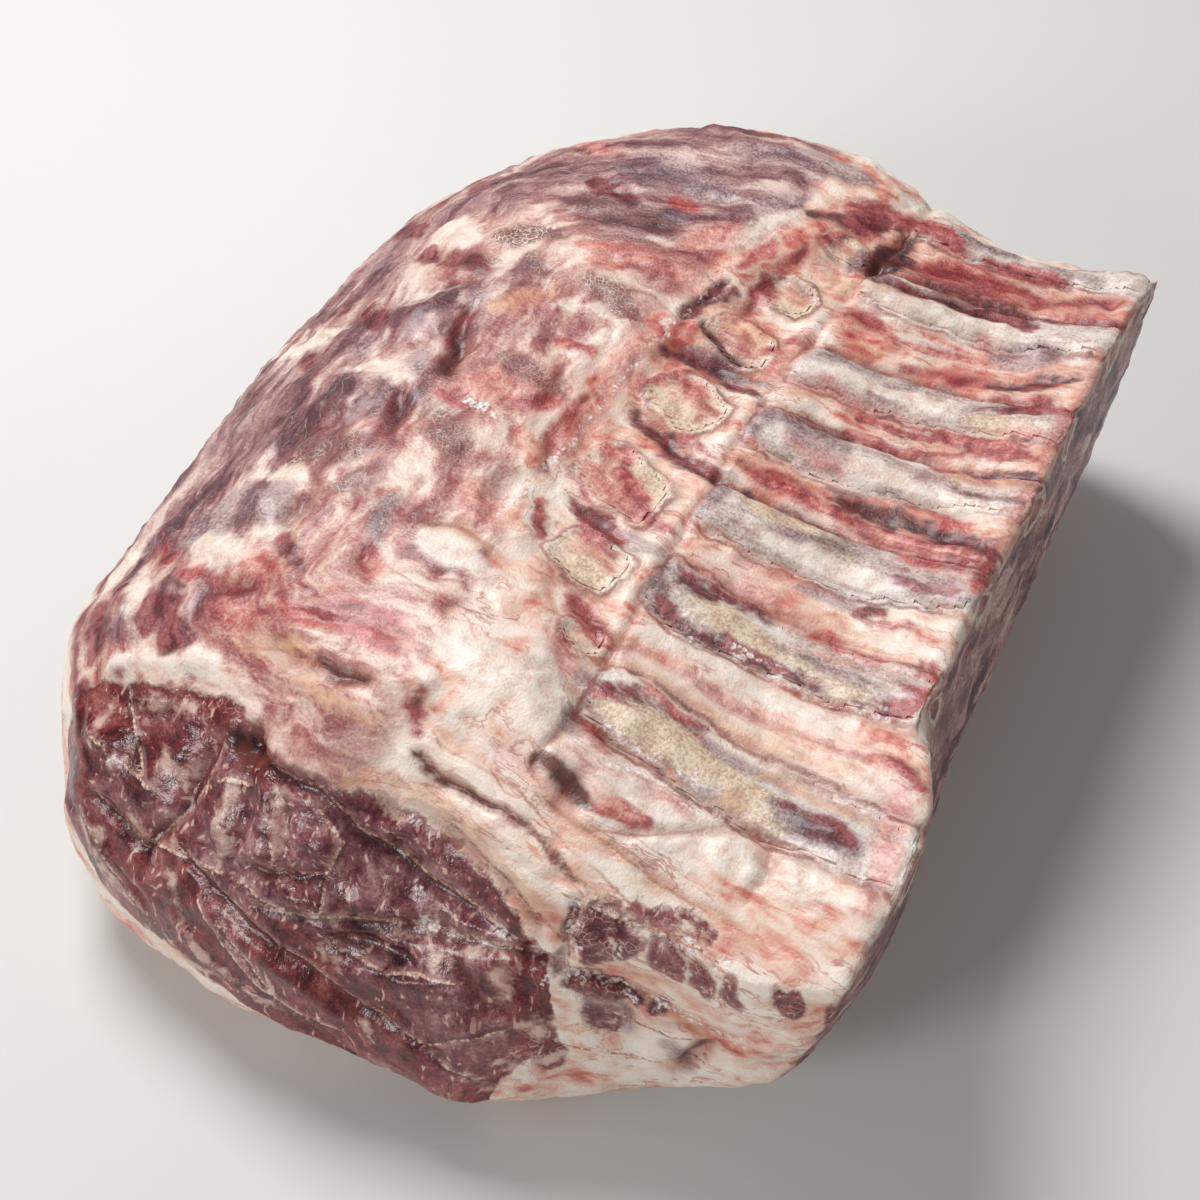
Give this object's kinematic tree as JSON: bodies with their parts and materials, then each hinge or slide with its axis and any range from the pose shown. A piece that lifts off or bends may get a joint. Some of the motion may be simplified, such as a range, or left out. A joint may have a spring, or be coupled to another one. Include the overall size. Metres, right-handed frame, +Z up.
{
  "type": "raw beef rib roast",
  "caption": "Raw bone-in beef rib roast lying bone side up: a slab of meat and fat with curved rib bones and halved chine bones bedded in its upper face.",
  "frame": {"origin": "under the middle of the roast, on the surface that it lies on", "axes": "+X across the roast, from the back muscle to the sawn rib ends; +Y along the spine, from the shoulder-end cut to the loin-end cut; +Z up, towards the bone side"},
  "size_m": [0.3084, 0.3816, 0.126],
  "materials": {
    "meat": "moist raw beef, dark red lean with cream fat",
    "rib_bone": "bone under a thin moist membrane",
    "chine_bone": "sawn bone, cream rim and pink marrow"
  },
  "bodies": {
    "root": {"meat": "meat", "rib_bone_1": "rib_bone", "rib_bone_2": "rib_bone", "rib_bone_3": "rib_bone", "rib_bone_4": "rib_bone", "rib_bone_5": "rib_bone", "rib_bone_6": "rib_bone", "rib_bone_7": "rib_bone", "chine_bone_1": "chine_bone", "chine_bone_2": "chine_bone", "chine_bone_3": "chine_bone", "chine_bone_4": "chine_bone", "chine_bone_5": "chine_bone", "chine_bone_6": "chine_bone", "chine_bone_7": "chine_bone"}
  },
  "joints": []
}
